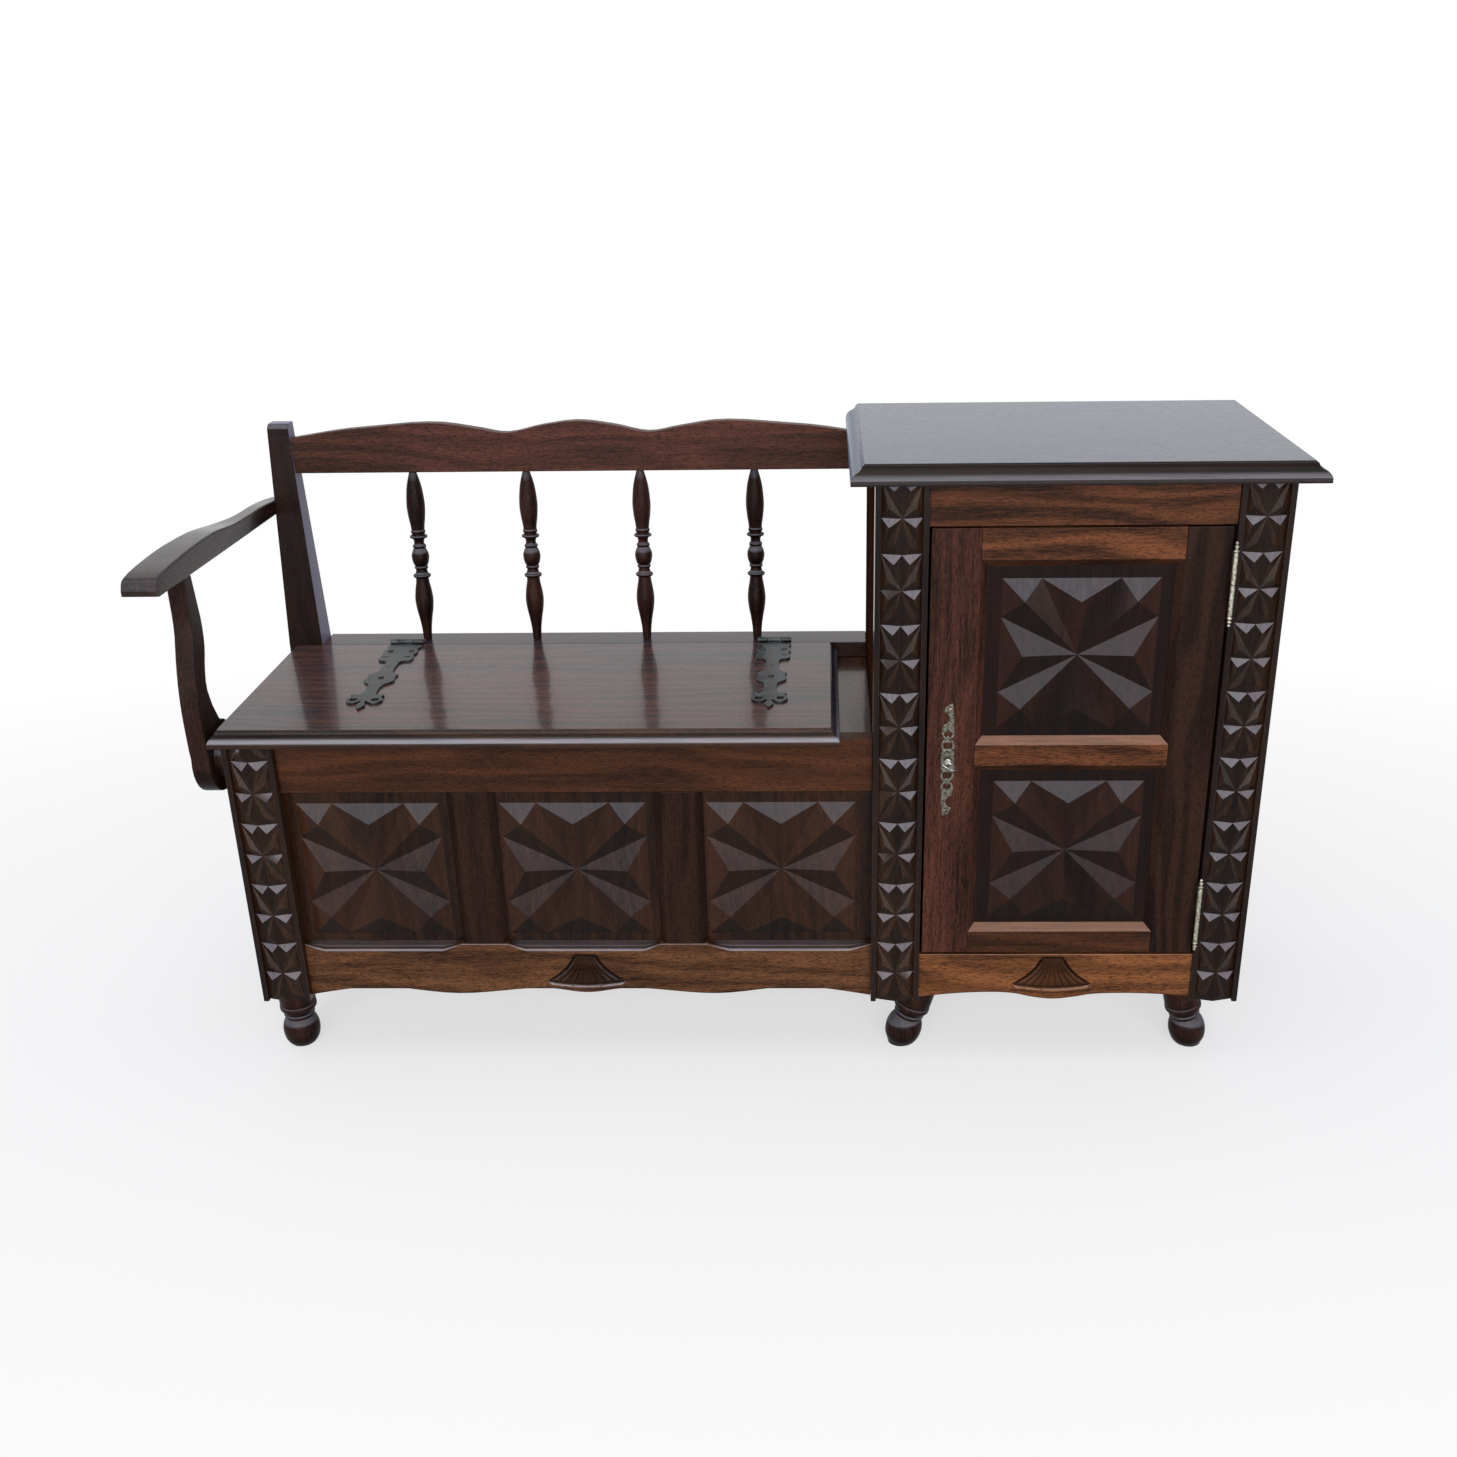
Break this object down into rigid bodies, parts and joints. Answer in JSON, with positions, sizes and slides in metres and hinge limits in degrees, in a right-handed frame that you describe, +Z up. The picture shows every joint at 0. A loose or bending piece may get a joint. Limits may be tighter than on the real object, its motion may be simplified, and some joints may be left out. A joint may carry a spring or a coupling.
{
  "type": "telephone bench",
  "caption": "Carved oak hall bench: a chest seat with a hinged lid, spindle back and one arm, joined to a small cabinet with a hinged, lockable door for a telephone.",
  "frame": {"origin": "centre of the footprint at floor level", "axes": "+X from the arm to the cabinet, +Y from the front to the back, +Z up"},
  "size_m": [1.3118, 0.425, 0.78],
  "materials": {
    "post_wood": "dark stain, satin wax",
    "rail_wood": "brown stain, satin wax",
    "panel_wood": "dark stain, satin wax",
    "seat_wood": "red-brown stain, polished",
    "inner_wood": "thin brown stain, matt",
    "iron": "blackened iron, satin",
    "brass": "aged, dull"
  },
  "bodies": {
    "root": {"front_post_left": "post_wood", "front_post_middle": "post_wood", "front_post_right": "post_wood", "foot_left": "post_wood", "foot_middle": "post_wood", "foot_right": "post_wood", "back_post": "post_wood", "arm_support": "post_wood", "armrest": "post_wood", "spindle_1": "post_wood", "spindle_2": "post_wood", "spindle_3": "post_wood", "spindle_4": "post_wood", "cabinet_rear_post_left": "post_wood", "cabinet_rear_post_right": "post_wood", "chest_muntin_left": "post_wood", "chest_muntin_right": "post_wood", "chest_top_rail": "rail_wood", "chest_bottom_rail": "rail_wood", "chest_ledge": "rail_wood", "chest_side_top_rail": "rail_wood", "chest_side_bottom_rail": "rail_wood", "cabinet_top_rail": "rail_wood", "cabinet_bottom_rail": "rail_wood", "cabinet_side_top_rail": "rail_wood", "cabinet_side_bottom_rail": "rail_wood", "chest_panel_left": "panel_wood", "chest_panel_middle": "panel_wood", "chest_panel_right": "panel_wood", "chest_side_panel": "panel_wood", "cabinet_side_panel": "panel_wood", "cabinet_partition": "panel_wood", "hinge_strip": "seat_wood", "crest_rail": "seat_wood", "cabinet_top_board": "seat_wood", "chest_bottom_board": "inner_wood", "chest_back_board": "inner_wood", "cabinet_bottom_board": "inner_wood", "cabinet_back_board": "inner_wood", "cabinet_shelf": "inner_wood", "strip_leaf_left": "iron", "strip_leaf_right": "iron", "post_knuckle_upper": "brass", "post_knuckle_lower": "brass"},
    "lid": {"seat_lid": "seat_wood", "lid_strap_left": "iron", "lid_strap_right": "iron"},
    "door": {"door_lock_stile": "post_wood", "door_hinge_stile": "post_wood", "door_top_rail": "rail_wood", "door_middle_rail": "rail_wood", "door_bottom_rail": "rail_wood", "door_panel_upper": "panel_wood", "door_panel_lower": "panel_wood", "door_knuckle_upper": "brass", "door_knuckle_lower": "brass", "escutcheon": "brass", "lock_case": "iron"},
    "key": {"key": "brass"},
    "bolt": {"lock_bolt": "brass"}
  },
  "joints": [
    {"name": "lid_hinge", "type": "hinge", "parent": "root", "child": "lid", "pos_m": [-0.21625, 0.155, 0.474], "axis": [-1, 0, 0], "range_deg": [0, 95]},
    {"name": "door_hinge", "type": "hinge", "parent": "root", "child": "door", "pos_m": [0.56625, -0.1475, 0.433], "axis": [0, 0, 1], "range_deg": [0, 170]},
    {"name": "key_turn", "type": "hinge", "parent": "door", "child": "key", "pos_m": [0.25575, -0.1385, 0.424], "axis": [0, 1, 0], "range_deg": [0, 90]},
    {"name": "bolt_slide", "type": "slide", "parent": "door", "child": "bolt", "axis": [-1, 0, 0], "range_m": [0, 0.012]}
  ],
  "couplings": [
    {"joint": "bolt_slide", "follows": "key_turn", "m_per_rad": 0.00763}
  ]
}
